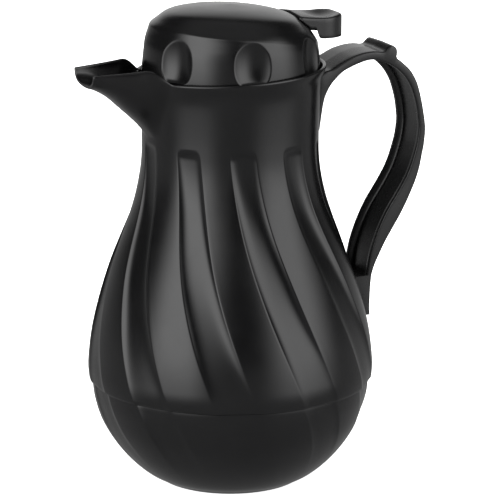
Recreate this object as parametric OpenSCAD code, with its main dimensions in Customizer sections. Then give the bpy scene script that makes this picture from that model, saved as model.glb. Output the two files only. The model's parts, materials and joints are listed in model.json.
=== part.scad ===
// Insulated coffee server: fluted double-wall body, hand-held strap handle,
// open pouring trough, and a stopper lid with a sprung thumb lever.
// Millimetres. Origin at the centre of the rest face, +Z up, handle towards +X, spout towards -X.

/* [Body] */
// Height of the joint between the base bowl and the upper shell
seam_z = 57.3; // [52:0.5:62]
// Radius of the flat rest face
rest_r = 37; // [32:1:42]
// Wall thickness of the moulded shells
shell_wall = 2.2; // [1.8:0.1:2.8]
// Number of flutes round the body
flutes = 10; // [8:1:12]
// Depth of a flute at its deepest
flute_depth = 2.8; // [1:0.1:3]
// Turn of a flute between its top and the seam, in degrees
flute_turn = 31; // [0:1:40]

/* [Neck and spout] */
// Height of the rim above the rest face, on the axis
rim_z = 231.8; // [230:0.2:233]
// Rise of the rim towards the handle, per millimetre
rim_slope = 0.045; // [0:0.005:0.06]
// Distance from the axis to the tip of the spout
spout_reach = 84.5; // [78:0.5:88]
// Half width of the spout at its tip
spout_half = 16; // [13:0.5:18]

/* [Handle] */
// Width of the strap handle
handle_w = 31.5; // [26:0.5:36]
// Depth of the channel on the finger side of the handle
channel_depth = 2.8; // [1:0.1:3]

/* [Lid] */
// Height of the top of the dome
dome_z = 266.8; // [265:0.2:268]
// Backward fall of the dome, in degrees
dome_tilt = 3.3; // [0:0.1:4]
// Width of the thumb lever
lever_w = 32; // [26:0.5:33]
// Radius of the lever's pin
pin_r = 1.5; // [1.2:0.1:1.8]
// Radius of the valve stem
stem_r = 2.5; // [2:0.1:2.8]

/* [Hidden] */
$fn = 96;

// Running clearance of a shaft in its hole
run = 0.05;

// Outer profile of the base bowl and the upper shell: [height, radius]
bowl_points = [[0, 38.5], [5, 48.2], [13, 57.5], [23, 65.7], [35, 72.5], [47, 76.1], [seam_z, 77.3]];
shell_points = [[seam_z, 78.9], [68, 79.5], [90, 76.3], [120, 67.9], [150, 56.4], [165, 51.8],
    [180, 49.2], [195, 48.7], [215, 49.3], [224, 50.2], [229, 52.0], [rim_z, 52.6]];

// Smooth curve through points: Catmull-Rom, `n` steps to a span
function at(p, i) = p[max(0, min(len(p) - 1, i))];
function spline(p, i, u) =
    0.5 * (2 * at(p, i) + (at(p, i + 1) - at(p, i - 1)) * u
        + (2 * at(p, i - 1) - 5 * at(p, i) + 4 * at(p, i + 1) - at(p, i + 2)) * u * u
        + (3 * at(p, i) - at(p, i - 1) - 3 * at(p, i + 1) + at(p, i + 2)) * u * u * u);
function curve(p, n) = concat([for (i = [0:len(p) - 2], k = [0:n - 1]) spline(p, i, k / n)], [at(p, len(p))]);
function smooth(a, b, x) = let (t = max(0, min(1, (x - a) / (b - a)))) t * t * (3 - 2 * t);
function flip(p) = [for (q = p) [q[1], q[0]]];
function reversed(p) = [for (i = [len(p) - 1:-1:0]) p[i]];

// Flutes: they start under the neck, turn as they fall, and die away in the bowl
flute_top = 193;
flute_start = 3.6;
flute_half = 8.5;
flute_offsets = [-1, -0.7, 0, 0.7, 1, 1.55, 2.1, 2.68];
function flute_azimuth(z) = flute_start + flute_turn * pow(max(0, flute_top - z) / (flute_top - seam_z), 1.3);
function flute_amount(z) = flute_depth * (1 - smooth(150, flute_top, z) * 0.35) * smooth(flute_top, flute_top - 9, z)
    * (0.35 + 0.65 * smooth(seam_z, 110, z)) * smooth(8, 45, z);
function dent(u, z) = abs(u) < 1 ? flute_amount(z) * (1 - u * u) : 0;

// One closed skin: fluted outside rows and plain inside rows, joined at both edges
ledge_z = 224;
function rim_lift(z, x, from) = rim_slope * x * smooth(from, rim_z, z);
function outside_ring(q, fluted) = [for (k = [0:flutes - 1], u = flute_offsets)
    let (az = 360 / flutes * k + flute_azimuth(q[0]) + u * flute_half, r = q[1] - (fluted ? dent(u, q[0]) : 0))
    [r * cos(az), r * sin(az), q[0] + rim_lift(q[0], r * cos(az), fluted ? 200 : ledge_z)]];
function grid_faces(rows, n) = [for (j = [0:rows - 1], i = [0:n - 1])
    let (a = j * n + i, b = j * n + (i + 1) % n, c = ((j + 1) % rows) * n + i, d = ((j + 1) % rows) * n + (i + 1) % n)
    each [[a, c, d], [a, d, b]]];
module fluted_skin(outside, inside) {
    n = flutes * len(flute_offsets);
    rings = concat([for (q = outside) outside_ring(q, true)], [for (q = inside) outside_ring(q, false)]);
    polyhedron(points = [for (r = rings) each r], faces = grid_faces(len(rings), n), convexity = 6);
}

// Solid of revolution of a [height, radius] outline
module spun(outline) { rotate_extrude() polygon(flip(outline)); }
module ring(r_in, r_out, z0, z1) {
    translate([0, 0, z0]) difference() {
        cylinder(r = r_out, h = z1 - z0);
        translate([0, 0, -1]) cylinder(r = r_in, h = z1 - z0 + 2);
    }
}

// Base
pad_h = 3;
module base_pad() {
    color("#1c1c1d") difference() {
        cylinder(r1 = rest_r, r2 = rest_r + 0.8, h = pad_h);
        for (r = [14, 22, 30]) translate([0, 0, -1]) ring(r - 0.6, r + 0.6, 0, 1.5);
    }
}
plug_r = 9.7;
floor_z = 3.2;
seam_r_in = 73.5;
bowl_wall = [for (q = curve(bowl_points, 2)) if (q[0] > 4) [q[0] + 1.5, q[1] - shell_wall - 0.6 - flute_amount(q[0])]];
module base_shell() {
    color("#262627") difference() {
        fluted_skin(curve(bowl_points, 2),
            concat([[seam_z, seam_r_in]],
                reversed([for (q = bowl_wall) if (q[0] < seam_z - 3) q]),
                [[floor_z + 2.4, 44], [floor_z + 2.4, plug_r + 0.3], [floor_z, plug_r + 0.3], [floor_z, rest_r + 1.2], [0, rest_r + 1.2]]));
    }
}
module fill_plug() {
    color("#2c2c2e") translate([0, 0, floor_z + 0.1]) {
        cylinder(r = plug_r, h = 2.3);
        translate([0, 0, 2.3]) cylinder(r1 = plug_r, r2 = 7, h = 2);
    }
}

// The handle's screws enter from inside the shell: two in the neck, two at the foot
screw_r = 1.4;
screw_head_r = 2.6;
screw_head_h = 2;
// Underside of each head, and the length of the screw: [x, y, z, length]
handle_screw_spots = [[43.8, 0, 212.5, 7.2], [43.8, 0, 220, 7.2], [63.6, -6, 107, 12.8], [63.6, 6, 107, 12.8]];
module at_handle_screws() {
    for (s = handle_screw_spots) translate([s[0], s[1], s[2]]) rotate([0, 90, 0]) {
        $screw_length = s[3];
        children();
    }
}

// Upper shell with its pouring trough
window_half = 17;
window_z = 211;
collar_r = 46;
mouth_r = 50.3;
inner_shell = [for (q = curve(shell_points, 2)) if (q[0] < 210) [q[0], min(q[1] - shell_wall - flute_amount(q[0]), 90)]];
// The trough from its tip to the neck: [x, top half width, top, underside, low half width, corner radius, floor]
trough = [
    [-spout_reach, spout_half, 235, 226.4, spout_half - 1.5, 6, 228.3],
    [-77, spout_half + 1.4, 235.4, 224.6, 15, 7, 226.5],
    [-70, spout_half + 2.8, 235.8, 220.2, 15, 8, 222.1],
    [-63, spout_half + 4.1, 236.4, 214.4, 14, 9, 217.4],
    [-58, spout_half + 5.1, 236.9, 208.2, 12, 8, 214.6],
    [-53.5, spout_half + 5.9, 235.6, 199.5, 9, 6, 212.6],
    [-49.5, spout_half + 6.6, 233.4, 190, 6, 4, 211.6],
    [-46, spout_half + 7.2, 231.6, 184, 4, 3, 211]];
trough_wall = 1.9;
trough_root = -48;
cut_past = 0.1;
function u_outline(w, top, low, low_w, r) = concat([[-w, top]],
    [for (a = [180:22.5:270]) [-low_w + r + r * cos(a), low + r + r * sin(a)]],
    [for (a = [270:22.5:360]) [low_w - r + r * cos(a), low + r + r * sin(a)]], [[w, top]]);
module slice(x, outline) { translate([x, 0, 0]) rotate([90, 0, 90]) linear_extrude(height = 0.01) polygon(outline); }
module trough_outside(s) { slice(s[0], u_outline(s[1], s[2], s[3], s[4], s[5])); }
module trough_inside(s) {
    w = s[1] - trough_wall;
    slice(s[0] + (s[0] > trough_root ? cut_past : -cut_past), concat([[-w, s[2] + 20]], u_outline(w, s[2] - 1, s[6], 12.5, 4), [[w, s[2] + 20]]));
}
module trough_skin() {
    difference() {
        for (i = [0:len(trough) - 2]) hull() {
            trough_outside(trough[i]);
            trough_outside(trough[i + 1]);
        }
        for (i = [0:len(trough) - 2]) hull() {
            trough_inside(trough[i]);
            trough_inside(trough[i + 1]);
        }
        cylinder(r = 47.2, h = 300);
    }
}
module outer_shell() {
    color("#262627") union() {
        difference() {
            fluted_skin(curve(shell_points, 2),
                concat([[rim_z, mouth_r], [ledge_z - 0.2, mouth_r], [collar_top + 0.1, collar_r + 0.4]], reversed(inner_shell)));
            translate([-60, -window_half, window_z]) cube([30, 2 * window_half, 40]);
            at_handle_screws() cylinder(r = screw_r + 0.1, h = $screw_length + 1);
        }
        trough_skin();
    }
}

// Liner, its gasket and the collar that the stopper turns in
liner_points = [[15, 0], [14, 30], [16, 46], [24, 57], [36, 63.5], [50, 67], [64, 68.2], [80, 67],
    [100, 62.5], [120, 56.4], [140, 49.4], [156, 44.2], [172, 41.2], [184, 40.4], [195, 40.4]];
liner_wall = 1;
liner_flange_z = 195;
liner_outside = [for (q = curve(liner_points, 2)) [q[0], max(0, q[1])]];
weld_z = 64;
liner_inside = [for (q = liner_outside) [min(q[0] + liner_wall * 0.9, liner_flange_z), max(0, q[1] - liner_wall)]];
module liner_bowl() {
    color("#c9cacc") spun(concat([for (q = liner_outside) if (q[0] <= weld_z) q],
        reversed([for (q = liner_inside) if (q[0] < weld_z) q]), [[liner_inside[0][0], 0]]));
}
module liner_neck() {
    color("#c9cacc") spun(concat([for (q = liner_outside) if (q[0] >= weld_z) q],
        [[liner_flange_z, 44.5], [liner_flange_z + 1, 44.5], [liner_flange_z + 1, 39.4]],
        reversed([for (q = liner_inside) if (q[0] > weld_z) q]), [[weld_z, 67.2]]));
}
module liner_gasket() { color("#d8d8d4") ring(40, 44.5, liner_flange_z + 1, liner_flange_z + 2.5); }
collar_z = liner_flange_z + 2.5;
collar_top = 222.5;
collar_in = 39.6;
module neck_collar() {
    color("#202021") difference() {
        ring(collar_in, collar_r, collar_z, collar_top);
        translate([-60, -window_half + 3, window_z + 1]) cube([40, 2 * window_half - 6, 40]);
        at_handle_screws() cylinder(r = screw_head_r + 0.4, h = 6);
    }
}
module insulation_foam() {
    color("#e3d9b4") difference() {
        spun(concat([[floor_z + 2.6, 0], [floor_z + 2.6, 40]],
            [for (q = bowl_wall) if (q[0] > 9 && q[0] < seam_z - 4) [q[0] + 1, q[1] - 1]],
            [[seam_z + 0.5, seam_r_in - 0.6]],
            [for (q = inner_shell) if (q[0] > seam_z + 2 && q[0] < 190) [q[0], q[1] - 0.4]], [[194, 46], [194, 0]]));
        spun(concat([[14.9, 0]], [for (q = liner_outside) if (q[1] > 29) [q[0] - 0.3, q[1] + 0.3]], [[200, 40.7], [200, 0]]));
        translate([0, 0, floor_z]) cylinder(r = 10.5, h = 5);
        at_handle_screws() translate([0, 0, -0.4]) cylinder(r = screw_head_r + 0.4, h = 12);
    }
}

// Handle: side outlines of the strap, outer line then finger side, in the X-Z plane
handle_outer = [[49.5, 229.4], [53.6, 230.2], [60.6, 233.8], [66.6, 236.2], [74, 237.8], [81.3, 238.1], [84, 237.8],
    [87.4, 239.2], [90, 240.8], [91.9, 240.3], [93.2, 238.0], [94, 234.6], [99.5, 228.8], [104.5, 222.5],
    [108.4, 212], [110.8, 200], [112.2, 190], [110.5, 179], [106.5, 163.2], [100.5, 149.9], [92.7, 136.7],
    [84.2, 121.4], [80.6, 112.5], [79.3, 102], [79.2, 87.6]];
handle_inner = [[49.2, 209.5], [50.3, 215], [53.7, 221], [60.6, 227.7], [68.2, 231.1], [77.4, 233.2], [84.6, 231.7],
    [93.8, 227.1], [102.5, 216], [105.9, 205], [107.5, 193.5], [106, 182.5], [102.6, 171], [96.6, 159], [88.7, 145.7],
    [81.6, 131.5], [78, 120], [76.5, 110.5]];
handle_foot = [[78.4, 87.6], [77.2, 94], [74.9, 101], [71.6, 107.5], [69.4, 110.8]];
channel_half = handle_w / 2 - 4;
function normal_of(p, i) = let (d = at(p, i + 1) - at(p, i - 1)) [-d[1], d[0]] / norm(d);
function shifted(p, d) = [for (i = [0:len(p) - 1]) p[i] + d * normal_of(p, i)];
module upright(h) { translate([0, h / 2, 0]) rotate([90, 0, 0]) linear_extrude(height = h) children(); }
module handle() {
    inner = curve(handle_inner, 2);
    tail = [[196, 49.2], [205, 50.5], [211.7, 51.7], [218.2, 54.2], [222, 56], [229, 56]];
    inside_part = [for (i = [8:len(inner) - 3]) inner[i]];
    color("#2a2a2b") difference() {
        union() {
            upright(handle_w) polygon(concat(curve(handle_outer, 2), handle_foot, reversed(inner)));
            intersection() {
                spun(concat([[196, 45]], tail, [[229, 45]]));
                translate([30, -handle_w / 2, 190]) cube([40, handle_w, 40]);
            }
        }
        spun(concat([[50, 0]], [for (q = curve(shell_points, 2)) [q[0], q[1] + 0.05]], [[245, 52.7], [245, 0]]));
        upright(2 * channel_half) polygon(concat(shifted(inside_part, 1), reversed(shifted(inside_part, -channel_depth))));
        at_handle_screws() cylinder(r = screw_r, h = $screw_length + 0.3);
    }
}
module handle_screws() {
    color("#b9bbbd") at_handle_screws() {
        cylinder(r = screw_head_r, h = screw_head_h);
        cylinder(r = screw_r, h = $screw_length);
    }
}

// Stopper
seat_z = 200.5;
stopper_r = 38.6;
flange_z = 224;
gasket_z = 201;
module lid_gasket() { color("#8d8f92") ring(stopper_r - 1.6 + run, collar_in - run, gasket_z, gasket_z + 3); }
module lid_body() {
    color("#2b2b2c") difference() {
        union() {
            translate([0, 0, 197.5]) cylinder(r = stopper_r, h = 26.5);
            translate([0, 0, flange_z]) cylinder(r = 47.6, h = 2);
        }
        translate([0, 0, seat_z]) cylinder(r = stopper_r - 3.8, h = 40);
        translate([0, 0, 190]) cylinder(r = 11, h = 20);
        ring(stopper_r - 1.6, stopper_r + 1, gasket_z - 0.1, gasket_z + 3.1);
        translate([-45, -12, window_z + 1.5]) cube([14, 24, 9]);
    }
}
module at_lid_screws() { for (a = [60, 180, 300]) rotate(a) translate([18, 0, 220.1]) children(); }
module chamber_cover() {
    color("#343436") difference() {
        union() {
            translate([0, 0, 222]) cylinder(r = stopper_r - 4, h = 2);
            translate([0, 0, 224]) cylinder(r = 6, h = 1);
        }
        translate([0, 0, 215]) cylinder(r = stem_r + run, h = 20);
        at_lid_screws() cylinder(r = 1.3, h = 10);
    }
}
guide_top = 244.4;
module valve_guide() {
    color("#e9e9e7") difference() {
        union() {
            ring(7.2, 24, 224.1, 226);
            ring(7.2, 9.4, 226, guide_top - 1.9);
            translate([0, 0, guide_top - 2]) cylinder(r = 9.4, h = 2);
        }
        translate([0, 0, 200]) cylinder(r = stem_r + run, h = 60);
        at_lid_screws() cylinder(r = 1.5, h = 20);
    }
}
module lid_insulation() { color("#e3d9b4") ring(26, 40, 226.4, 241); }
module lid_screws() {
    color("#b9bbbd") at_lid_screws() {
        translate([0, 0, 6]) cylinder(r = 2.7, h = 1.8);
        translate([0, 0, 2.2]) cylinder(r = 1.3, h = 4.3);
    }
}

// Lid cap: a convex skirt cut off by a dome that falls towards the lever
skirt_points = [[226.4, 49.3], [232, 49.2], [239, 48.7], [245.7, 47.8], [250, 46.4], [254, 44.9], [259, 43.6], [268, 42.8]];
dome_points = [[dome_z, 0], [265.2, 20], [261.9, 34], [257, 41], [253.4, 44.8], [247, 49.5]];
scoop_turn = 5.5;
scoop_angles = [for (k = [1:6]) scoop_turn + k * 360 / 7];
scoop_axis_r = 64.5;
scoop_z = 244;
pivot = [38, 0, 248.5];
pocket_z = 256.6;
dome_centre_z = 254;
module dome_solid(inset) {
    translate([0, 0, dome_centre_z]) rotate([0, dome_tilt, 0]) translate([0, 0, -dome_centre_z - inset])
        spun(concat(curve(dome_points, 3), [[200, 60], [200, 0]]));
}
module skirt_solid(inset) {
    spun(concat([[skirt_points[0][0] - (inset > 0 ? 1 : 0), 0]],
        [for (q = curve(skirt_points, 3)) [q[0] - (inset > 0 && q[0] < 227 ? 1 : 0), q[1] - inset]], [[268, 0]]));
}
module scoop(grow) {
    reach = 13.6 + grow;
    spun(concat([[scoop_z - reach, 0]],
        [for (t = [-90:15:90]) [scoop_z + reach * sin(t), scoop_axis_r - 48.2 + grow + 3.6 * cos(t)]], [[scoop_z + reach, 0]]));
}
module lid_cap() {
    color("#232324") difference() {
        intersection() { skirt_solid(0); dome_solid(0); }
        difference() {
            intersection() { skirt_solid(2.4); dome_solid(2.4); }
            translate([31, -19, 253]) cube([20, 38, 20]);
            for (s = [-1, 1]) translate([33, s * 9.5 - 1.5, 243.5]) cube([9, 3, 20]);
            for (a = scoop_angles) rotate(a) translate([scoop_axis_r, 0, 0]) scoop(2.4);
        }
        translate([33.6, -lever_w / 2 - 0.8, pocket_z]) cube([30, lever_w + 1.6, 20]);
        translate([33, -7.6, 243]) cube([20, 15.2, 30]);
        for (a = scoop_angles) rotate(a) translate([scoop_axis_r, 0, 0]) scoop(0);
        translate([pivot[0], 20, pivot[2]]) rotate([90, 0, 0]) cylinder(r = pin_r, h = 40);
    }
}
module lever_pin() { color("#c9cacc") translate([pivot[0], 11, pivot[2]]) rotate([90, 0, 0]) cylinder(r = pin_r, h = 22); }

// Lever: a thumb plate with a hanging skirt, a web through the dome and a forked inner arm
nose_r = 1.7;
rear_r = 15;
module lever() {
    top = [[34.5, 260.2], [41, 259.4], [48, 258.5], [53, 258.2], [58, 258.7], [61.5, 258.9], [63.6, 258.2], [64.6, 256.6]];
    color("#2a2a2b") difference() {
        union() {
            intersection() {
                upright(lever_w) polygon(concat(top, [[64.4, 246.3], [46.9, 246.9], [44.4, 253.2], [41.2, 253.6], [39.6, 256.9],
                    [38.6, 257.4], [34.5, 257.4]]));
                translate([0, 0, 240]) hull() for (s = [-1, 1]) {
                    translate([34, s * (lever_w / 2 - 0.5), 0]) cylinder(r = 0.5, h = 30, $fn = 32);
                    translate([64.6 - rear_r, s * (lever_w / 2 - rear_r), 0]) cylinder(r = rear_r, h = 30, $fn = 48);
                }
            }
            upright(13) polygon([[34.6, 249.2], [38, 245.6], [42.5, 248.4], [46, 253.5], [46, 256.6], [39.6, 257.2]]);
            translate([pivot[0], 6.5, pivot[2]]) rotate([90, 0, 0]) cylinder(r = 3.6, h = 13);
            for (s = [-1, 1]) translate([0, s * 4.8, 0]) {
                translate([0, -1.7, 247]) cube([37, 3.4, 2.4]);
                translate([0, 1.7, 248.5]) rotate([90, 0, 0]) cylinder(r = nose_r, h = 3.4);
            }
        }
        for (s = [-1, 1]) translate([40, s * 7.4 - (s < 0 ? 6.2 : 0), 240]) cube([21.5, 6.2, 15.4]);
        translate([46.2, -7.5, 240]) cube([15.3, 15, 15.4]);
        translate([pivot[0], 20, pivot[2]]) rotate([90, 0, 0]) cylinder(r = pin_r + run, h = 40);
    }
}

// Valve
module valve_stem() {
    color("#e9e9e7") {
        translate([0, 0, 203]) cylinder(r = stem_r, h = 50.6);
        translate([0, 0, 250.6]) cylinder(r = 6.2, h = 2);
    }
}
module valve_disc() {
    color("#2b2b2c") difference() {
        union() {
            translate([0, 0, 202.6]) cylinder(r = 14, h = 2);
            translate([0, 0, 204.6]) cylinder(r = 5, h = 4);
        }
        translate([0, 0, 203]) cylinder(r = stem_r, h = 20);
    }
}
module valve_seal() { color("#8d8f92") ring(11.4, 14, seat_z + 0.3, 202.6); }
seat_washer_z = 226;
module spring_seat() { color("#c9cacc") ring(stem_r, 6.6, seat_washer_z, seat_washer_z + 0.8); }
module stem_clip() {
    color("#b9bbbd") difference() {
        ring(stem_r, 4.2, seat_washer_z - 0.5, seat_washer_z);
        translate([0, -1.4, 200]) cube([10, 2.8, 40]);
    }
}
spring_top = 242.4;
spring_r = 5.2;
wire_r = 0.5;
coils = 6;
module return_spring() {
    z0 = seat_washer_z + 0.8 + wire_r;
    z1 = spring_top - wire_r;
    steps = 16;
    sides = 6;
    total = coils * steps;
    pts = [for (i = [0:total]) let (a = 360 * i / steps, z = z0 + (z1 - z0) * i / total)
        for (k = [0:sides - 1]) let (b = 360 * k / sides, r = spring_r + wire_r * cos(b))
        [r * cos(a), r * sin(a), z + wire_r * sin(b)]];
    side_faces = [for (i = [0:total - 1], k = [0:sides - 1])
        let (a = i * sides + k, b = i * sides + (k + 1) % sides) each [[a, b, b + sides], [a, b + sides, a + sides]]];
    color("#c9cacc") polyhedron(points = pts, convexity = 8,
        faces = concat([[for (k = [0:sides - 1]) sides - 1 - k]], side_faces, [[for (k = [0:sides - 1]) total * sides + k]]));
}

base_pad();
base_shell();
fill_plug();
outer_shell();
insulation_foam();
liner_bowl();
liner_neck();
liner_gasket();
neck_collar();
handle();
handle_screws();
lid_gasket();
lid_body();
chamber_cover();
valve_guide();
lid_insulation();
lid_screws();
lid_cap();
lever_pin();
lever();
valve_stem();
valve_disc();
valve_seal();
spring_seat();
stem_clip();
return_spring();
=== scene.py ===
"""Insulated coffee server: glossy fluted body with trough spout, strap handle and sprung thumb lever.

Shapes are worked out in millimetres (x towards the handle, -x towards the spout, z up) and scaled to metres
when a mesh is made. Outer skins are fine meshes that replace their CAD nodes; inner pieces keep their CAD
mesh.
"""

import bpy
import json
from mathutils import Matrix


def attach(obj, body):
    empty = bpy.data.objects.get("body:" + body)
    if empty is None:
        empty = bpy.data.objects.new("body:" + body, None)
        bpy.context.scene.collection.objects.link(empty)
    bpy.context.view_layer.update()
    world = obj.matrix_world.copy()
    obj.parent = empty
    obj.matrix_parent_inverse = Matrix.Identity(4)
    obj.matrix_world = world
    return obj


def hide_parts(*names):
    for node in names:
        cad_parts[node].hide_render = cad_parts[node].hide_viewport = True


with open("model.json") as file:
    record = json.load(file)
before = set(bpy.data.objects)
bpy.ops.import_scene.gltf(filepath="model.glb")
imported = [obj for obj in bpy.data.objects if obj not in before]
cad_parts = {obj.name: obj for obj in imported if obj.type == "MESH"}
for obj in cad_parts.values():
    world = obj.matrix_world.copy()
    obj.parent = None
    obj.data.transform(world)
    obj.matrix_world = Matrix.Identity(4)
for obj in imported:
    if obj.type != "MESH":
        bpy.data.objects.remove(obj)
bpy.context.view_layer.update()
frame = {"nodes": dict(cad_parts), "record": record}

import json
import math

import bmesh
import bpy
import numpy as np
from mathutils import Vector

MM = 0.001


# ---------------------------------------------------------------- small maths
def smooth(a, b, x):
    t = np.clip((x - a) / (b - a), 0.0, 1.0)
    return t * t * (3 - 2 * t)


def soft_max(x, width):
    """max(x, 0) with its corner rounded."""
    return 0.5 * (x + np.sqrt(x * x + width * width))


def curve(points, steps):
    """Catmull-Rom curve through rows of numbers, the same rule as the CAD's."""
    p = np.array(points, float)
    p = np.vstack([p[:1], p, p[-1:]])
    rows = []
    for i in range(1, len(p) - 2):
        for k in range(steps):
            u = k / steps
            rows.append(0.5 * (2 * p[i] + (p[i + 1] - p[i - 1]) * u
                               + (2 * p[i - 1] - 5 * p[i] + 4 * p[i + 1] - p[i + 2]) * u * u
                               + (3 * p[i] - p[i - 1] - 3 * p[i + 1] + p[i + 2]) * u ** 3))
    rows.append(p[-2])
    return np.array(rows)


def through(points, x):
    """Smooth value at x of a curve through (x, value) points."""
    fine = curve(points, 12)
    return np.interp(x, fine[:, 0], fine[:, 1])


def spread(path, count):
    """The same line with its points evenly spaced, as many as asked."""
    path = np.array(path, float)
    length = np.concatenate([[0], np.cumsum(np.linalg.norm(np.diff(path, axis=0), axis=1))])
    even = np.linspace(0, length[-1], count)
    return np.stack([np.interp(even, length, path[:, k]) for k in range(path.shape[1])], 1)


def resampled(path, step):
    """Points at an even spacing along a line."""
    return spread(path, max(2, int(round(np.linalg.norm(np.diff(path, axis=0), axis=1).sum() / step)) + 1))


def arc(cx, cy, r, start, end, steps):
    """Points of an arc, angles in degrees."""
    return [(cx + r * math.cos(math.radians(start + (end - start) * k / steps)),
             cy + r * math.sin(math.radians(start + (end - start) * k / steps))) for k in range(steps + 1)]


# ---------------------------------------------------------------- mesh making
def shade(mesh, angle):
    """Smooth shading, with edges sharper than the angle left crisp."""
    mesh.shade_smooth()
    mesh.set_sharp_from_angle(angle=math.radians(angle))


def piece(name, points, faces, material, body, replaces=(), crisp=32):
    """A mesh object from points in millimetres."""
    mesh = bpy.data.meshes.new(name)
    corners = [tuple(v) for v in np.array(points, float) * MM]
    mesh.from_pydata(corners, [], [tuple(int(i) for i in f) for f in faces])
    mesh.validate()
    mesh.update()
    shade(mesh, crisp)
    obj = bpy.data.objects.new(name, mesh)
    bpy.context.scene.collection.objects.link(obj)
    if material:
        mesh.materials.append(material)
    if body:
        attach(obj, body)
    if replaces:
        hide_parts(*replaces)
    return obj


def tube_faces(rows, columns, closed_rows=False):
    """Quads of a grid that closes round its columns, and round its rows too if it is a ring."""
    faces = []
    for j in range(rows if closed_rows else rows - 1):
        for i in range(columns):
            a, b = j * columns + i, j * columns + (i + 1) % columns
            c, d = (j + 1) % rows * columns + i, (j + 1) % rows * columns + (i + 1) % columns
            faces.append((a, b, d, c))
    return faces


def fan(start, columns, centre, flip):
    """Triangles from one ring of points to a centre point."""
    made = []
    for i in range(columns):
        a, b = start + i, start + (i + 1) % columns
        made.append((b, a, centre) if flip else (a, b, centre))
    return made


def prism(outline_xz, y0, y1):
    """Closed block with an outline in the X-Z plane, between two values of y."""
    n = len(outline_xz)
    points = [(x, y, z) for y in (y0, y1) for x, z in outline_xz]
    faces = [tuple(range(n)), tuple(range(2 * n - 1, n - 1, -1))]
    faces += [((i + 1) % n, i, n + i, n + (i + 1) % n) for i in range(n)]
    return points, faces


def rod(centre, radius, half, axis, sides=48):
    """Closed cylinder: centre in millimetres, axis 'y' or 'z'."""
    points = []
    for end in (-half, half):
        for k in range(sides):
            a = 2 * math.pi * k / sides
            u, v = radius * math.cos(a), radius * math.sin(a)
            offset = (u, end, v) if axis == "y" else (u, v, end)
            points.append(tuple(c + o for c, o in zip(centre, offset)))
    faces = [tuple(range(sides)), tuple(range(2 * sides - 1, sides - 1, -1))]
    faces += [((i + 1) % sides, i, sides + i, sides + (i + 1) % sides) for i in range(sides)]
    return points, faces


def outward(obj):
    """Makes every face of a closed mesh look outwards."""
    made = bmesh.new()
    made.from_mesh(obj.data)
    bmesh.ops.recalc_face_normals(made, faces=made.faces)
    made.to_mesh(obj.data)
    made.free()


def combine(obj, solids, operation, crisp=32):
    """Cuts solids out of an object, or joins them to it, and keeps the result as its mesh."""
    outward(obj)
    for points, faces in solids:
        tool = piece("tool", points, faces, None, None)
        outward(tool)
        step = obj.modifiers.new("step", "BOOLEAN")
        step.operation = operation
        step.object = tool
        step.solver = "MANIFOLD"
        result = bpy.data.meshes.new_from_object(obj.evaluated_get(bpy.context.evaluated_depsgraph_get()))
        obj.modifiers.remove(step)
        old = obj.data
        result.name = obj.name
        obj.data = result
        bpy.data.meshes.remove(old)
        bpy.data.objects.remove(tool)
    shade(obj.data, crisp)


# ---------------------------------------------------------------- body shell and bowl
SEAM_Z, RIM_Z = 57.3, 231.8
SHELL_WALL = 2.2
MOUTH_R = 50.3
RIM_SLOPE = 0.045
BOWL = [[0, 38.5], [5, 48.2], [13, 57.5], [23, 65.7], [35, 72.5], [47, 76.1], [SEAM_Z, 77.3]]
SHELL = [[SEAM_Z, 78.9], [68, 79.38], [90, 76.3], [120, 67.9], [150, 56.4], [165, 51.8],
         [180, 49.2], [195, 48.7], [215, 49.3], [224, 50.2], [229, 52.0], [RIM_Z, 52.6]]
FLUTES = 10
PITCH = 36
FLUTE_TOP, FLUTE_START, FLUTE_TURN, FLUTE_HALF, FLUTE_DEPTH = 193.6, 4.2, 31.4, 8.4, 2.5
FLUTE_END_R = 5.0
EDGE_ROUND = 0.10


def flute_azimuth(z):
    fall = np.maximum(0, FLUTE_TOP - z) / (FLUTE_TOP - SEAM_Z)
    return FLUTE_START + FLUTE_TURN * fall ** 1.3


def flute_amount(z):
    fade_in = 1 - 0.35 * smooth(150, FLUTE_TOP, z)
    return FLUTE_DEPTH * fade_in * (0.35 + 0.65 * smooth(SEAM_Z, 110, z)) * smooth(8, 45, z)


def dent(u, z):
    """Depth of a flute at u half widths from its middle: a nearly flat floor between steep sides and end."""
    past = np.maximum(0, z - (FLUTE_TOP - FLUTE_END_R)) / FLUTE_END_R
    flat = np.minimum(1 - np.abs(u) ** 5 - past ** 2.5, 1)
    hollow = np.minimum(1 - u * u - past ** 2.5, 1)
    share = 0.5 - 0.12 * smooth(150, 90, z)
    inside = (1 - share) * soft_max(flat, EDGE_ROUND) + share * soft_max(hollow, EDGE_ROUND)
    return flute_amount(z) * inside * (np.abs(u) < 2)


def flute_columns():
    """Column places in half widths: close together at the flute's two edges."""
    edge = [-0.20, -0.13, -0.08, -0.04, 0, 0.04, 0.08, 0.13, 0.20]
    flute = [-0.7, -0.55, -0.37, -0.18, 0, 0.18, 0.37, 0.55, 0.7]
    pitch = PITCH / FLUTE_HALF
    land = [u for u in np.linspace(1, pitch - 1, 11) if 1.2 < u < pitch - 1.2]
    return [-1 + e for e in edge] + flute + [1 + e for e in edge] + land


def fluted_rings(profile, fluted=True):
    """Rings of points round the axis for rows of (height, radius), with the flutes pressed in."""
    columns = np.array(flute_columns())
    rings = []
    for z, r in profile:
        az = np.concatenate([PITCH * k + flute_azimuth(z) + columns * FLUTE_HALF for k in range(FLUTES)])
        depth = np.tile(dent(columns, z), FLUTES) if fluted else 0.0
        a = np.radians(az)
        x, y = (r - depth) * np.cos(a), (r - depth) * np.sin(a)
        rings.append(np.stack([x, y, z + RIM_SLOPE * x * smooth(200, RIM_Z, z)], 1))
    return rings


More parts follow.
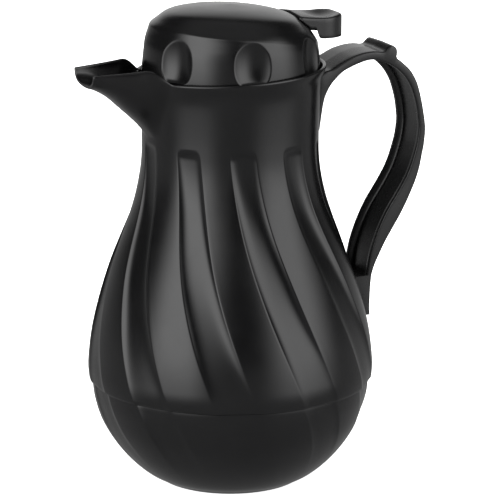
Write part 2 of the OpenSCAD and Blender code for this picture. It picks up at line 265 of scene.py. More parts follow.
def make_bowl(material):
    outer = [q for q in resampled(curve(BOWL, 16), 1.3) if 1.2 < q[0] < SEAM_Z - 1.0]
    lip = [[SEAM_Z - 0.5, 77.15], [SEAM_Z - 0.12, 76.85], [SEAM_Z, 76.3], [SEAM_Z, 75.2],
           [SEAM_Z - 0.8, 74.4]]
    foot = [[3.2, 38.2], [0.5, 38.2], [0.1, 38.45], [0.0, 38.9], [0.05, 39.5], [0.5, 40.6]]
    inner = [[max(q[0] + 1.5, 5.6), q[1] - 4.6] for q in curve(BOWL, 4) if 5 < q[0] < SEAM_Z - 4]
    recess = [[5.6, 44], [5.6, 10], [3.2, 10], [3.2, 38.2]]
    rings = (fluted_rings(foot[1:], False) + fluted_rings(outer) + fluted_rings(lip)
             + fluted_rings(inner[::-1], False) + fluted_rings(recess, False))
    points = np.concatenate(rings)
    faces = tube_faces(len(rings), len(rings[0]), closed_rows=True)
    bowl = piece("bowl", points, faces, material, "jug", ["base_shell"])
    outward(bowl)
    return bowl


def make_shell(material):
    outer = [q for q in resampled(curve(SHELL, 16), 1.2) if SEAM_Z + 1.0 < q[0] < 230.2]
    bottom = [[SEAM_Z + 1.2, 76.2], [SEAM_Z + 0.2, 76.6], [SEAM_Z, 77.6], [SEAM_Z + 0.15, 78.5],
              [SEAM_Z + 0.5, 78.82]]
    rim = [[230.8, 52.5], [231.25, 52.48], [231.6, 52.25], [231.78, 51.85], [231.8, 51.4], [231.72, 50.95],
           [231.5, 50.6], [231.1, 50.38], [230.6, MOUTH_R], [224.5, MOUTH_R], [224.1, 49.9], [223.8, 49],
           [222.8, 46.4]]
    inner = [[q[0], q[1] - SHELL_WALL - 3.0] for q in curve(SHELL, 4) if SEAM_Z + 3 < q[0] < 214][::-1]
    rings = (fluted_rings(bottom) + fluted_rings(outer) + fluted_rings(rim, False)
             + fluted_rings(inner, False))
    points = np.concatenate(rings)
    faces = tube_faces(len(rings), len(rings[0]), closed_rows=True)
    shell = piece("shell", points, faces, material, "jug", ["outer_shell"])
    windows = [prism([(-62, low), (-62, 250), (-38, 250), (-38, low)], -half, half)
               for low, half in ((213.5, 13.5), (219, 17), (224, 19.6))]
    combine(shell, windows, "DIFFERENCE")
    return shell


# ---------------------------------------------------------------- spout
SPOUT_TIP_X = -84.5
TROUGH_WALL = 1.9
U_POWER, U_TAPER = 2.6, 0.7
ROOT_SINK = 1.9
# Upper edge and keel of the trough from the tip inwards: [x, half width, z] and [x, z]
TOP_EDGE = [[-84.5, 16.1, 235.0], [-77, 17.5, 235.4], [-68.5, 19.1, 235.9], [-60, 20.7, 236.5],
            [-56, 21.4, 236.9]]
KEEL = [[-84.5, 226.5], [-80.5, 225.2], [-75.5, 222.6], [-70, 218.9], [-62.8, 212.4]]
INNER_KEEL = [[-84.5, 228.4], [-78, 226.6], [-70, 222.4], [-60, 216.5], [-46, 213.2]]


def u_section(top, keel, steps, power=U_POWER):
    """Half of a U, from the keel to the upper edge: top is (x, half width, z), keel is (x, z)."""
    a = np.linspace(0, math.pi / 2, steps)
    side = np.sin(a) ** (2 / power)
    rise = 1 - np.cos(a) ** (2 / power)
    return np.stack([keel[0] + (top[0] - keel[0]) * rise, top[1] * side,
                     keel[1] + (top[2] - keel[1]) * rise], 1)


def neck_radius(z):
    fine = curve(SHELL, 12)
    return np.interp(z, fine[:, 0], fine[:, 1])


def footprint(steps):
    """Where the trough's skin lands on the neck, with the direction in which it arrives."""
    v = np.linspace(0, 1, steps)
    az = np.radians(180 - through([[0, 0], [0.3, 12], [0.55, 20], [0.8, 27], [1, 33.5]], v))
    z = through([[0, 188.5], [0.3, 193.5], [0.55, 204.5], [0.8, 220], [1, 231.7]], v)
    r = neck_radius(np.minimum(z, 231.2)) - 0.05 - ROOT_SINK * (1 - smooth(0.1, 0.45, v))
    lift = RIM_SLOPE * r * np.cos(az) * smooth(200, RIM_Z, z)
    spot = np.stack([r * np.cos(az), r * np.sin(az), z + lift], 1)
    turn = np.radians(through([[0, 90], [0.3, 62], [0.55, 38], [0.8, 20], [1, 4]], v))
    slope = (neck_radius(z + 0.5) - neck_radius(z - 0.5)) * (z < 229)
    along = np.stack([np.sin(az), -np.cos(az), np.zeros(steps)], 1)
    down = -np.stack([slope * np.cos(az), slope * np.sin(az), np.ones(steps)], 1)
    down /= np.linalg.norm(down, axis=1)[:, None]
    return spot, np.cos(turn)[:, None] * along + np.sin(turn)[:, None] * down


def half_skin(steps):
    """Rows of the trough's outer skin on one side, from the tip to the neck."""
    tops, keels = curve(TOP_EDGE, 4), curve(KEEL, 4)
    rows = [u_section(t, k, steps) for t, k in zip(tops, keels)]
    start, arrive = rows[-1], footprint(steps)
    leave = rows[-1] - rows[-2]
    leave /= np.linalg.norm(leave, axis=1)[:, None]
    reach = np.linalg.norm(arrive[0] - start, axis=1)[:, None]
    pull = through([[0, 1.0], [0.5, 1.0], [0.8, 0.9], [1, 0.75]], np.linspace(0, 1, steps))[:, None]
    for u in np.linspace(0, 1, 15)[1:]:
        rows.append((2 * u ** 3 - 3 * u ** 2 + 1) * start + (u ** 3 - 2 * u ** 2 + u) * leave * reach
                    + (3 * u ** 2 - 2 * u ** 3) * arrive[0] + (u ** 3 - u ** 2) * arrive[1] * reach * pull)
    return rows


def trough_ring(outer, inner, steps):
    """Closed ring round the trough's wall: skin, rolled edge, channel, and the same mirrored."""
    edge, lip = outer[-1], inner[-1]
    roll = [edge + (0, -0.12, -0.4), edge + (0, -0.45, -0.1), (edge + lip) / 2,
            lip + (0, 0.45, -0.1), lip + (0, 0.12, -0.4)]
    skin = [p for p in outer if p[2] < edge[2] - 1.0] + [edge + (0, 0, -0.9)]
    channel = [p for p in inner if p[2] < lip[2] - 1.0] + [lip + (0, 0, -0.9)]
    half = list(spread(skin, steps)) + roll + list(spread(channel, steps)[::-1])
    return np.array(half + [p * (1, -1, 1) for p in half[-2:0:-1]])


def make_spout(material):
    steps = 25
    skins = half_skin(steps)
    keels = curve(INNER_KEEL, 8)
    rings = []
    for skin, share in zip(skins, np.linspace(0, 1, len(skins))):
        top = (min(skin[-1][0], -44.5), min(skin[-1][1] - TROUGH_WALL, 23.0), skin[-1][2])
        keel_x = SPOUT_TIP_X + share * 40
        keel = (keel_x, np.interp(keel_x, keels[:, 0], keels[:, 1]))
        channel = u_section(top, keel, steps, U_POWER - U_TAPER * share)
        rings.append(trough_ring(skin, channel, steps))
    columns = len(rings[0])
    last = columns // 2

    def across(k):
        """The column on the other face of the wall."""
        return last - k if k <= last else columns - (last - (columns - k))

    front = rings[0]
    toward = np.array([front[across(k)] - front[k] for k in range(columns)])
    toward /= np.maximum(np.linalg.norm(toward, axis=1), 0.01)[:, None]
    rings[0] = front + (0.45, 0, 0)
    rings = [front + toward * 0.4] + rings
    faces = tube_faces(len(rings), columns)
    for start in (0, (len(rings) - 1) * columns):
        for k in range(last // 2):
            corners = (k, k + 1, last - k - 1, last - k)
            faces.append([start + i for i in corners])
            faces.append([start + (columns - i) % columns for i in corners[::-1]])
    spout = piece("spout", np.concatenate(rings), faces, material, "jug",
                  ["outer_shell"], crisp=40)
    outward(spout)
    return spout


# ---------------------------------------------------------------- lid cap
SKIRT = [[226.4, 49.3], [232, 49.2], [239, 48.7], [245.7, 47.8], [250, 46.4], [254, 44.9], [259, 43.6],
         [268, 42.8]]
DOME = [[0, 266.8], [20, 265.2], [34, 261.9], [41, 257], [44.8, 253.4], [49.5, 247]]
DOME_TILT, DOME_CENTRE_Z = 3.3, 254.0
SCOOP_TURN = 5.5
SCOOP_ANGLES = [SCOOP_TURN + k * 360 / 7 for k in range(1, 7)]
SCOOP_AXIS_R, SCOOP_R, SCOOP_Z, SCOOP_REACH = 64.5, 19.9, 244.0, 13.6
CAP_WALL = 2.4
PIVOT = (38.0, 0.0, 248.5)


def dome_height(x, y):
    """Height of the tilted dome over a place on the lid."""
    tilt = math.radians(DOME_TILT)
    fine = curve(DOME, 12)
    z = np.full(np.shape(x), 260.0)
    for _ in range(8):
        along = x * math.cos(tilt) - (z - DOME_CENTRE_Z) * math.sin(tilt)
        rise = np.interp(np.hypot(along, y), fine[:, 0], fine[:, 1]) - DOME_CENTRE_Z
        z = DOME_CENTRE_Z - along * math.sin(tilt) + rise * math.cos(tilt)
    return z


def skirt_radius(z, az):
    """Radius of the skirt with its thumb scoops."""
    fine = curve(SKIRT, 12)
    r = np.interp(z, fine[:, 0], fine[:, 1])
    for scoop in SCOOP_ANGLES:
        off = np.radians((az - scoop + 180) % 360 - 180)
        height = np.clip((z - SCOOP_Z) / SCOOP_REACH, -1, 1)
        ball = SCOOP_AXIS_R - 44.6 - 3.6 * (1 - np.sqrt(1 - height ** 2))
        within = np.maximum(ball ** 2 - (SCOOP_AXIS_R * np.sin(off)) ** 2, 0)
        hollow = SCOOP_AXIS_R * np.cos(off) - np.sqrt(within)
        hollow = np.where((within > 0) & (np.abs(off) < 0.6), hollow, 90)
        r = r - soft_max(r - hollow, 0.25)
    return r


def make_lid_cap(material):
    az = np.arange(0, 360, 0.5)
    a = np.radians(az)
    low, high = np.full(len(az), 244.0), np.full(len(az), 264.0)
    for _ in range(30):
        mid = (low + high) / 2
        r = skirt_radius(mid, az)
        above = dome_height(r * np.cos(a), r * np.sin(a)) > mid
        low, high = np.where(above, mid, low), np.where(above, high, mid)
    crease = (low + high) / 2
    rings = []

    def ring(r, z):
        rings.append(np.stack([r * np.cos(a), r * np.sin(a), z + 0 * a], 1))

    foot = SKIRT[0][0]
    ring(skirt_radius(foot, az) - 0.5, foot)
    ring(skirt_radius(foot, az), foot + 0.5)
    for share in np.linspace(0, 1, 46)[1:]:
        z = foot + 0.5 + (crease - 0.35 - foot - 0.5) * share
        ring(skirt_radius(z, az), z)
    edge_r = skirt_radius(crease, az)
    ring(edge_r - 0.1, crease - 0.02)
    for share in np.concatenate([np.linspace(0.99, 0.9, 8), np.linspace(0.86, 0.04, 24)]):
        r = edge_r * share
        ring(r, dome_height(r * np.cos(a), r * np.sin(a)))
    top = sum(len(r) for r in rings)
    points = list(np.concatenate(rings)) + [np.array([0, 0, float(dome_height(np.zeros(1), np.zeros(1))[0])])]
    faces = tube_faces(len(rings), len(az)) + fan(top - len(az), len(az), top, False)
    inside = []
    smooth_az = np.full(len(az), 10.0)
    for z in np.linspace(foot, 241, 8):
        r = skirt_radius(z, az) - CAP_WALL
        inside.append(np.stack([r * np.cos(a), r * np.sin(a), np.full(len(a), z)], 1))
    for share in (0.93, 0.85, 0.7, 0.5, 0.25):
        r = (skirt_radius(241, smooth_az) - CAP_WALL) * share
        x, y = r * np.cos(a), r * np.sin(a)
        inside.append(np.stack([x, y, np.minimum(dome_height(x, y) - CAP_WALL - 1.2, 262)], 1))
    start = len(points)
    points += list(np.concatenate(inside))
    faces += tube_faces_from(start, len(inside), len(az))
    points.append(np.array([0, 0, 262.0]))
    faces += fan(len(points) - 1 - len(az), len(az), len(points) - 1, True)
    faces += [(i, (i + 1) % len(az), start + (i + 1) % len(az), start + i) for i in range(len(az))]
    cap = piece("lid_top", points, faces, material, "lid", ["lid_cap"])
    pocket = prism([(33.6, 256.6), (60, 256.6), (60, 270), (33.6, 270)], -16.9, 16.9)
    slot = prism([(33.6, 243), (53, 243), (53, 262), (33.6, 262)], -7.6, 7.6)
    pin_hole = rod(PIVOT, 1.5, 12, "y")
    combine(cap, [pocket, slot, pin_hole], "DIFFERENCE")
    return cap


def tube_faces_from(start, rows, columns):
    return [tuple(start + i for i in face[::-1]) for face in tube_faces(rows, columns)]


# ---------------------------------------------------------------- handle
HANDLE_HALF = 15.75
HUG_R = 51.5
# Sections of the strap from the neck round to the foot: outer x, z and finger-side x, z
HANDLE = [
    [44.6, 196.5, 46.7, 196.0], [45.2, 205, 48, 205.0], [45.6, 212, 49.2, 211.7], [46.2, 219, 50.2, 215.0],
    [46.5, 226, 51.9, 218.4], [50, 228.6, 53.8, 221.2], [53.8, 229.6, 56.9, 224.4], [58, 231.8, 60.8, 227.7],
    [62.6, 234.2, 64.8, 229.6], [67.5, 236.3, 69.2, 231.3], [74, 237.8, 75, 232.9], [80, 238.15, 79.6, 233.1],
    [84.4, 237.6, 82.8, 232.4], [86.5, 238.1, 84.4, 231.8], [88.2, 239.7, 85.8, 231.3],
    [89.8, 240.8, 87.1, 230.8], [91.7, 240.3, 88.6, 230.1], [93.1, 239, 89.7, 229.5],
    [93.6, 237.3, 90.4, 229.1], [93.2, 234.9, 91.3, 228.6], [94.1, 233.1, 92.2, 228.0],
    [96.5, 231.2, 94.2, 226.6], [99.5, 228.6, 96.9, 224.1],
    [103, 224.8, 99.6, 220.9], [106.4, 218.6, 102.5, 216.0], [108.8, 210.8, 104.7, 209.9],
    [110.3, 203.9, 106.3, 203.6], [111.5, 197, 107.2, 197.2], [112.0, 191.3, 107.5, 192.2],
    [111.3, 183.4, 106.6, 184.6], [110.0, 176.6, 105.0, 178.4], [108.6, 169.8, 103.0, 172.2],
    [106.5, 163.2, 100.4, 166.0], [103.6, 156.5, 97.2, 160.4], [100.4, 149.9, 93.4, 154.4],
    [96.8, 143.3, 89.4, 148.4], [92.7, 136.7, 85.7, 141.6], [88.5, 129.8, 82.2, 133.8],
    [84.6, 122.4, 79.2, 125.2], [82.0, 116.9, 77.7, 118.6], [80.5, 112.7, 76.9, 113.2],
    [80.0, 110.8, 76.6, 110.8]]
FOOT = [[79.9, 110.2, 65.5, 110.6], [79.3, 104, 67.5, 104], [79.0, 96.4, 71.4, 96.4], [78.9, 91, 73.4, 91],
        [79.2, 87.8, 75.2, 88.0]]


def strap_section(outer, inner, channel, bulge):
    """Ring of points round the strap at one place: rounded edges, crowned back, channel on the finger side.

    The bulge, 0 to 1, is how far the section curves round the neck.
    """
    half = HANDLE_HALF
    thick = math.hypot(outer[0] - inner[0], outer[1] - inner[1])
    out_r, in_r = min(1.3, thick * 0.4), min(0.9, thick * 0.3)
    crown = min(0.35, thick * 0.1)
    side = [(y, thick - crown * y / half) for y in (0.0, 0.5, 4, 8, 12)]
    side += [(y, b - crown) for y, b in arc(half - out_r, thick - out_r, out_r, 90, 0, 5)]
    side += arc(half - in_r, in_r, in_r, 0, -90, 4)
    lip = half - 4.0
    side += [(lip + 0.7, 0.0), (lip + 0.2, channel * 0.12), (lip, channel * 0.4), (lip - 0.3, channel * 0.8),
             (lip - 1.0, channel), (6, channel), (0.0, channel)]
    ring = side + [(-y, b) for y, b in side[-2:0:-1]]
    ux, uz = (outer[0] - inner[0]) / thick, (outer[1] - inner[1]) / thick
    edge = math.sqrt(HUG_R ** 2 - half ** 2)
    return [(inner[0] + ux * b + bulge * (math.sqrt(HUG_R ** 2 - y * y) - edge), y, inner[1] + uz * b)
            for y, b in ring]


def make_handle(material):
    strap = curve(HANDLE, 4)
    sections = list(strap) + list(curve(FOOT, 4))
    rings = []
    for k, (ox, oz, ix, iz) in enumerate(sections):
        in_strap = k < len(strap)
        channel = 2.9 * float(smooth(63, 70, ix)) * in_strap if k > 20 else 0.0
        bulge = 1 - float(smooth(216, 226, iz)) if k < 40 else 0.0
        rings.append(np.array(strap_section((ox, oz), (ix, iz), channel, bulge)))
    columns = len(rings[0])
    points = list(np.concatenate(rings))
    faces = tube_faces(len(rings), columns)
    for start, flip in ((0, True), ((len(rings) - 1) * columns, False)):
        points.append(np.mean(points[start:start + columns], axis=0))
        faces += fan(start, columns, len(points) - 1, flip)
    handle = piece("strap_handle", points, faces, material, "jug",
                   ["handle"], crisp=38)
    outward(handle)
    return handle


# ---------------------------------------------------------------- thumb lever
LEVER_HALF = 16.0
LEVER_FRONT, LEVER_REAR = 34.5, 64.6
LEVER_TOP = [[LEVER_FRONT, 261.4], [41, 260.2], [48, 259.1], [53, 258.8], [58, 259.2], [61.5, 259.4],
             [63.5, 258.7], [LEVER_REAR, 257.6]]
LEVER_LOW = [[LEVER_FRONT, 257.4], [36, 257.2], [37, 256.3], [38, 255.4], [40, 253.9], [41, 253.3],
             [43.6, 253.0], [44.6, 252.2], [45.6, 249.4], [46.9, 247.3],
             [49, 246.9], [56, 246.7], [65, 246.4]]
REAR_CORNER_R = 15.0
DISH_X, DISH_LONG, DISH_WIDE, DISH_DEEP = 51.5, 11.5, 13.2, 2.3
ARCH_FRONT, ARCH_REAR = 1.7, 0.6
PLATE, PLATE_LOW = 2.5, 255.6


def lever_outline(inset):
    """Plan outline of the lever: square at the front, round at the rear corners."""
    x0, x1, h = LEVER_FRONT + inset, LEVER_REAR - inset, LEVER_HALF - inset
    r = REAR_CORNER_R - inset
    path = [(x0, 0), (x0, h - 0.8), (x0 + 0.8, h)]
    path += [(x, h) for x in np.linspace(x0 + 2.0, x1 - r - 0.6, 26)]
    path += arc(x1 - r, h - r, r, 90, 0, 16)
    path += [(x1, y) for y in np.linspace(h - r, 0, 5)[1:]]
    return np.array(path + [(x, -y) for x, y in path[-2:0:-1]])


def lever_top(x, y):
    """Height of the thumb plate: arched like the dome at the front, dished in the middle, low at the rear."""
    out = ((x - DISH_X) / DISH_LONG) ** 2 + (y / DISH_WIDE) ** 2
    dish = DISH_DEEP * np.maximum(1 - out, 0) ** 1.3
    arch = ARCH_FRONT - (ARCH_FRONT - ARCH_REAR) * smooth(36, 52, x)
    return through(LEVER_TOP, x) - dish - arch * (y / LEVER_HALF) ** 2


def make_lever(material):
    rings = []
    outline = lever_outline(0)
    n = len(outline)
    middle = np.array([50.0, 0.0])
    low = through(LEVER_LOW, outline[:, 0])
    top = lever_top(outline[:, 0], outline[:, 1])

    def ring(plan, z):
        rings.append(np.stack([plan[:, 0], plan[:, 1], z], 1))

    wall_in = lever_outline(2.4)
    for share in (0.1, 0.3, 0.5, 0.7, 0.85, 1.0):
        plan = middle + (wall_in - middle) * share
        ring(plan, np.minimum(lever_top(plan[:, 0], plan[:, 1]) - PLATE, PLATE_LOW))
    roof = np.minimum(lever_top(wall_in[:, 0], wall_in[:, 1]) - PLATE, PLATE_LOW)
    floor_in = np.minimum(low + 0.3, roof - 0.2)
    for share in (0.1, 0.5, 0.9, 1.0):
        ring(wall_in, roof + (floor_in - roof) * share)
    ring(lever_outline(2.1), np.minimum(low, roof - 0.1))
    ring(lever_outline(0.45), low)
    ring(lever_outline(0.12), low + 0.15)
    ring(outline, low + 0.5)
    for share in np.linspace(0, 1, 7)[1:-1]:
        ring(outline, low + 0.5 + (top - 1.4 - low - 0.5) * share)
    ring(outline, top - 1.3)
    for inset, drop in ((0.1, 0.75), (0.4, 0.3), (0.85, 0.06), (1.4, 0.0)):
        plan = lever_outline(inset)
        ring(plan, lever_top(plan[:, 0], plan[:, 1]) - drop)
    rim = lever_outline(1.4)
    for share in (0.93, 0.86, 0.78, 0.69, 0.6, 0.5, 0.4, 0.3, 0.2, 0.1):
        plan = middle + (rim - middle) * share
        ring(plan, lever_top(plan[:, 0], plan[:, 1]))
    points = list(np.concatenate(rings))
    faces = tube_faces(len(rings), n)
    points.append(np.array([50, 0, 253.0]))
    faces += fan(0, n, len(points) - 1, True)
    points.append(np.array([50, 0, float(lever_top(np.array([50.0]), np.array([0.0]))[0])]))
    faces += fan((len(rings) - 1) * n, n, len(points) - 1, False)
    lever = piece("thumb_plate", points, faces, material, "thumb_lever",
                  ["lever"])
    web = prism([(34.6, 249.2), (38, 245.6), (42.5, 248.4), (46, 253.5), (46, 256.6), (39.6, 257.6)],
                -6.5, 6.5)
    arms = [prism([(0, 247), (37, 247), (37, 249.4), (0, 249.4)], y - 1.7, y + 1.7) for y in (-4.8, 4.8)]
    noses = [rod((0, y, 248.5), 1.7, 1.7, "y") for y in (-4.8, 4.8)]
    combine(lever, [web, rod(PIVOT, 3.6, 6.5, "y")] + arms + noses, "UNION")
    combine(lever, [rod(PIVOT, 1.55, 20, "y")], "DIFFERENCE")
    return lever


# ---------------------------------------------------------------- materials
def new_material(name):
    """An empty Principled material: its nodes, links, shader and the place it is worked out from."""
    material = bpy.data.materials.new(name)
    material.use_nodes = True
    nodes, links = material.node_tree.nodes, material.node_tree.links
    nodes.clear()
    shader = nodes.new("ShaderNodeBsdfPrincipled")
    out = nodes.new("ShaderNodeOutputMaterial")
    links.new(shader.outputs["BSDF"], out.inputs["Surface"])
    place = nodes.new("ShaderNodeTexCoord")
    return material, nodes, links, shader, place.outputs["Object"]


def noise(nodes, links, place, scale, detail=3.0, rough=0.5):
    made = nodes.new("ShaderNodeTexNoise")
    made.inputs["Scale"].default_value = scale
    made.inputs["Detail"].default_value = detail
    made.inputs["Roughness"].default_value = rough
    links.new(place, made.inputs["Vector"])
    return made.outputs["Fac"]


def spread_value(nodes, links, source, low, high):
    """The middle of a noise's range, spread from one value to another."""
    made = nodes.new("ShaderNodeMapRange")
    made.inputs["From Min"].default_value = 0.3
    made.inputs["From Max"].default_value = 0.7
    made.inputs["To Min"].default_value = low
    made.inputs["To Max"].default_value = high
    links.new(source, made.inputs["Value"])
    return made.outputs["Result"]


def two_colours(nodes, links, source, first, second):
    made = nodes.new("ShaderNodeValToRGB")
    made.color_ramp.elements[0].position = 0.35
    made.color_ramp.elements[1].position = 0.65
    made.color_ramp.elements[0].color = (*first, 1)
    made.color_ramp.elements[1].color = (*second, 1)
    links.new(source, made.inputs["Fac"])
    return made.outputs["Color"]


def bump(nodes, links, source, strength, distance, under=None):
    made = nodes.new("ShaderNodeBump")
    made.inputs["Strength"].default_value = strength
    made.inputs["Distance"].default_value = distance
    links.new(source, made.inputs["Height"])
    if under:
        links.new(under, made.inputs["Normal"])
    return made.outputs["Normal"]


def moulded(name, dark, light, rough, rough_spread, grain, grain_depth, wave_depth=0.0):
    """Moulded plastic: faint shade and gloss drift, a fine grain and a slow moulding wave."""
    material, nodes, links, shader, place = new_material(name)
    drift = noise(nodes, links, place, 24, 4)
    links.new(two_colours(nodes, links, drift, dark, light), shader.inputs["Base Color"])
    smear = noise(nodes, links, place, 70, 5, 0.6)
    gloss = spread_value(nodes, links, smear, rough - rough_spread, rough + rough_spread)
    links.new(gloss, shader.inputs["Roughness"])
    surface = bump(nodes, links, noise(nodes, links, place, grain, 2), 0.5, grain_depth)
    if wave_depth:
        surface = bump(nodes, links, noise(nodes, links, place, 30, 1), 0.6, wave_depth, surface)
    links.new(surface, shader.inputs["Normal"])
    shader.inputs["IOR"].default_value = 1.49
    return material


def metal(name, colour, rough, brushed):
    """Steel with fine brush lines round the axis."""
    material, nodes, links, shader, place = new_material(name)
    stretch = nodes.new("ShaderNodeMapping")
    stretch.inputs["Scale"].default_value = brushed
    links.new(place, stretch.inputs["Vector"])
    lines = noise(nodes, links, stretch.outputs["Vector"], 30, 4)
    dark = tuple(c * 0.86 for c in colour)
    links.new(two_colours(nodes, links, lines, dark, colour), shader.inputs["Base Color"])
    links.new(spread_value(nodes, links, lines, rough * 0.7, rough * 1.4), shader.inputs["Roughness"])
    links.new(bump(nodes, links, lines, 0.3, 0.00002), shader.inputs["Normal"])
    shader.inputs["Metallic"].default_value = 1.0
    return material


def cellular(name, dark, light):
    """Foam: small cells in two shades."""
    material, nodes, links, shader, place = new_material(name)
    cells = nodes.new("ShaderNodeTexVoronoi")
    cells.inputs["Scale"].default_value = 700
    links.new(place, cells.inputs["Vector"])
    links.new(two_colours(nodes, links, cells.outputs["Distance"], dark, light), shader.inputs["Base Color"])
    links.new(bump(nodes, links, cells.outputs["Distance"], 0.6, 0.0004), shader.inputs["Normal"])
    shader.inputs["Roughness"].default_value = 0.9
    return material


GLOSS = moulded("gloss_black", (0.0022, 0.0022, 0.0024), (0.0032, 0.0032, 0.0034), 0.22, 0.03,
                2600, 0.000006, 0.00003)
SATIN = moulded("satin_black", (0.004, 0.004, 0.0042), (0.006, 0.006, 0.0062), 0.26, 0.04,
                1900, 0.00002, 0.00002)
LOOKS = {
    "black_gloss_plastic": GLOSS,
    "black_satin_plastic": SATIN,
    "dark_inner_plastic": moulded("inner_plastic", (0.018, 0.018, 0.02), (0.03, 0.03, 0.032), 0.42, 0.06,
                                  1500, 0.00003),
    "white_plastic": moulded("acetal", (0.74, 0.73, 0.7), (0.82, 0.81, 0.79), 0.38, 0.05, 1500, 0.00002),
    "pad_rubber": moulded("pad_rubber", (0.012, 0.012, 0.012), (0.022, 0.022, 0.022), 0.75, 0.08,
                          900, 0.00008),
    "foam": cellular("foam", (0.62, 0.55, 0.36), (0.85, 0.79, 0.58)),
    "liner_steel": metal("liner_steel", (0.62, 0.62, 0.63), 0.22, (1, 1, 40)),
    "silicone": moulded("silicone", (0.2, 0.205, 0.21), (0.26, 0.265, 0.27), 0.55, 0.06, 700, 0.00004),
    "bright_steel": metal("bright_steel", (0.72, 0.72, 0.73), 0.18, (1, 1, 25)),
}


def dress_nodes():
    """Every CAD node takes the look of its own material slot."""
    for entry in frame["record"]["subparts"]:
        mesh = frame["nodes"][entry["node"]].data
        mesh.materials.clear()
        mesh.materials.append(LOOKS[entry["material_slot"]])


# ---------------------------------------------------------------- stage, lights and camera
CAMERA_AZIMUTH, CAMERA_HEIGHT = math.radians(-22), math.radians(14)
TARGET = Vector((0, 0, 0.125))
FLOOR_LEVEL, ROOM_LEVEL, CEILING_LEVEL, PAPER_LEVEL = 0.38, 0.05, 0.32, 1.6
BACK = Vector((math.sin(CAMERA_AZIMUTH) * math.cos(CAMERA_HEIGHT),
               -math.cos(CAMERA_AZIMUTH) * math.cos(CAMERA_HEIGHT), math.sin(CAMERA_HEIGHT)))


def make_camera():
    data = bpy.data.cameras.new("camera")
    data.sensor_width = 36
    data.lens = 207.6
    data.shift_x, data.shift_y = 0.0396, 0.014
    camera = bpy.data.objects.new("camera", data)
    camera.location = TARGET + 1.6 * BACK
    camera.rotation_euler = BACK.to_track_quat("Z", "Y").to_euler()
    bpy.context.scene.collection.objects.link(camera)
    bpy.context.scene.camera = camera


def ramp(nodes, links, source, start, end, low, high):
    """Smooth step of a value between two places."""
    made = nodes.new("ShaderNodeMapRange")
    made.interpolation_type = "SMOOTHSTEP"
    made.inputs["From Min"].default_value = start
    made.inputs["From Max"].default_value = end
    made.inputs["To Min"].default_value = low
    made.inputs["To Max"].default_value = high
    links.new(source, made.inputs["Value"])
    return made.outputs["Result"]


def together(nodes, links, operation, first, second):
    """Two values joined by a maths operation."""
    made = nodes.new("ShaderNodeMath")
    made.operation = operation
    links.new(first, made.inputs[0])
    links.new(second, made.inputs[1])
    return made.outputs["Value"]


def along(nodes, links, place, direction):
    """How far a direction in the world points along another one."""
    made = nodes.new("ShaderNodeVectorMath")
    made.operation = "DOT_PRODUCT"
    made.inputs[1].default_value = Vector(direction).normalized()
    links.new(place, made.inputs[0])
    return made.outputs["Value"]


# Soft lights that the gloss reflects: degrees to the right of the camera, sine of the half width where each
# begins to fade and where it has gone, heights of direction over which it comes in, and radiance
SOFT_LIGHTS = (
    (-46, 0.16, 0.60, -0.42, 0.18, 4.4),
    (62, 0.14, 0.64, -0.42, 0.18, 3.4),
    (-12, 0.08, 0.26, -0.10, 0.20, 0.5),
)
LIGHT_TOP = (0.60, 0.86)


def soft_light(nodes, links, place, height, turn, inner, outer, low, high, radiance):
    """One upright band of light with faded edges, on one side of the world only."""
    azimuth = CAMERA_AZIMUTH + math.radians(turn)
    sideways = nodes.new("ShaderNodeMath")
    sideways.operation = "ABSOLUTE"
    across = along(nodes, links, place, (math.cos(azimuth), math.sin(azimuth), 0))
    links.new(across, sideways.inputs[0])
    beam = ramp(nodes, links, sideways.outputs["Value"], inner, outer, radiance, 0.0)
    ahead = along(nodes, links, place, (math.sin(azimuth), -math.cos(azimuth), 0))
    facing = ramp(nodes, links, ahead, 0, 0.3, 0, 1)
    foot = ramp(nodes, links, height, low, high, 0.0, 1.0)
    top = ramp(nodes, links, height, *LIGHT_TOP, 1.0, 0.0)
    return together(nodes, links, "MULTIPLY", together(nodes, links, "MULTIPLY", beam, facing),
                    together(nodes, links, "MULTIPLY", foot, top))


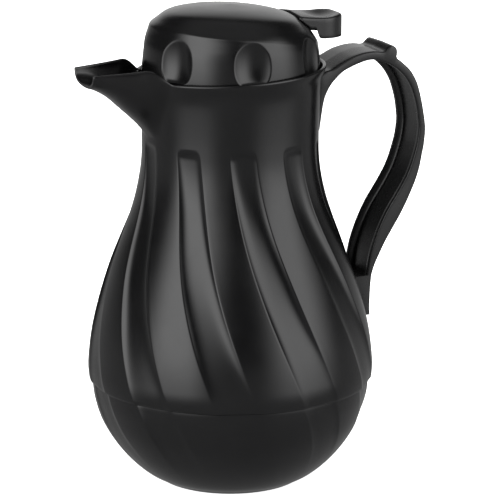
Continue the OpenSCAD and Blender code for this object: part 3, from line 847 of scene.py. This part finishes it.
def make_world():
    """White studio. Reflections see a dark room, a grey floor and ceiling, soft lights and a bright
    backdrop behind the object; the camera and diffuse light see white paper."""
    world = bpy.data.worlds.new("studio")
    bpy.context.scene.world = world
    world.use_nodes = True
    nodes, links = world.node_tree.nodes, world.node_tree.links
    nodes.clear()
    place = nodes.new("ShaderNodeTexCoord").outputs["Generated"]
    axes = nodes.new("ShaderNodeSeparateXYZ")
    links.new(place, axes.inputs["Vector"])
    low = ramp(nodes, links, axes.outputs["Z"], -0.10, 0.18, FLOOR_LEVEL, ROOM_LEVEL)
    behind = along(nodes, links, place, (-BACK.x, -BACK.y, 0.16))
    back = ramp(nodes, links, behind, 0.82, 0.98, 0.0, 1.0)
    ceiling = ramp(nodes, links, axes.outputs["Z"], 0.66, 0.97, 0.0, CEILING_LEVEL)
    deep = ramp(nodes, links, axes.outputs["Z"], -0.95, -0.45, 0.80, 1.0)
    floor = together(nodes, links, "MULTIPLY", low, deep)
    level = together(nodes, links, "MAXIMUM", together(nodes, links, "ADD", floor, ceiling), back)
    for light in SOFT_LIGHTS:
        band = soft_light(nodes, links, place, axes.outputs["Z"], *light)
        level = together(nodes, links, "ADD", level, band)
    room = nodes.new("ShaderNodeBackground")
    links.new(level, room.inputs["Strength"])
    paper = nodes.new("ShaderNodeBackground")
    paper.inputs["Strength"].default_value = PAPER_LEVEL
    seen = nodes.new("ShaderNodeLightPath")
    mix = nodes.new("ShaderNodeMixShader")
    plain = together(nodes, links, "MAXIMUM", seen.outputs["Is Camera Ray"], seen.outputs["Is Diffuse Ray"])
    links.new(plain, mix.inputs["Fac"])
    links.new(room.outputs["Background"], mix.inputs[1])
    links.new(paper.outputs["Background"], mix.inputs[2])
    out = nodes.new("ShaderNodeOutputWorld")
    links.new(mix.outputs["Shader"], out.inputs["Surface"])


def make_floor():
    """White paper that glows enough to keep the picture's ground white; the gloss doesn't reflect it."""
    material, nodes, links, shader, place = new_material("paper_floor")
    tone = noise(nodes, links, place, 6, 3)
    white = two_colours(nodes, links, tone, (0.93, 0.93, 0.93), (0.95, 0.95, 0.95))
    links.new(white, shader.inputs["Base Color"])
    shader.inputs["Roughness"].default_value = 0.85
    shader.inputs["Specular IOR Level"].default_value = 0.1
    shader.inputs["Emission Color"].default_value = (1, 1, 1, 1)
    shader.inputs["Emission Strength"].default_value = 0.95
    mesh = bpy.data.meshes.new("floor")
    half = 6.0
    corners = [(-half, -half, 0), (half, -half, 0), (half, half, 0), (-half, half, 0)]
    mesh.from_pydata(corners, [], [(0, 1, 2, 3)])
    mesh.materials.append(material)
    floor = bpy.data.objects.new("floor", mesh)
    floor.location.z = -0.0003
    floor.visible_glossy = False
    bpy.context.scene.collection.objects.link(floor)


make_camera()
make_world()
make_floor()
bpy.context.scene.view_settings.view_transform = "Standard"

dress_nodes()
make_bowl(GLOSS)
make_shell(GLOSS)
make_spout(GLOSS)
make_lid_cap(GLOSS)
make_handle(SATIN)
make_lever(SATIN)
